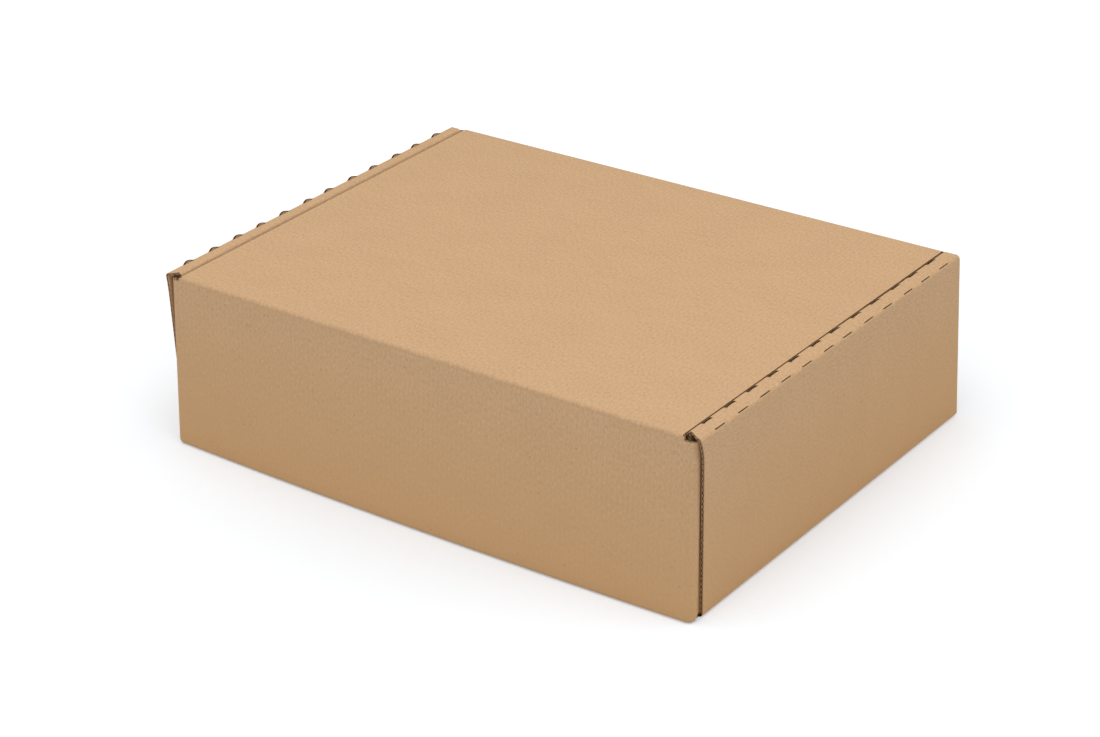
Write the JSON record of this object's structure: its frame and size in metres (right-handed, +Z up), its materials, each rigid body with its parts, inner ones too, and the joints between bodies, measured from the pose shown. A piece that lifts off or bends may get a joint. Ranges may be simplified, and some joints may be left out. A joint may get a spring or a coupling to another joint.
{
  "type": "mailer box",
  "caption": "Closed roll-end corrugated mailer box with perforated side rims, hinged lid and a tuck flap.",
  "frame": {"origin": "middle of the closed box's outside on the plane it stands on", "axes": "+X along the lid's hinge, +Y from the hinge wall towards the front wall, +Z up out of the lid"},
  "size_m": [0.3636, 0.2784, 0.106],
  "materials": {
    "kraft_board": "matt brown kraft paper"
  },
  "bodies": {
    "tray": {"tray": "kraft_board"},
    "lid": {"lid": "kraft_board"}
  },
  "joints": [
    {"name": "lid_hinge", "type": "hinge", "parent": "tray", "child": "lid", "pos_m": [0, -0.12875, 0.1042], "axis": [1, 0, 0], "range_deg": [0, 180]}
  ]
}
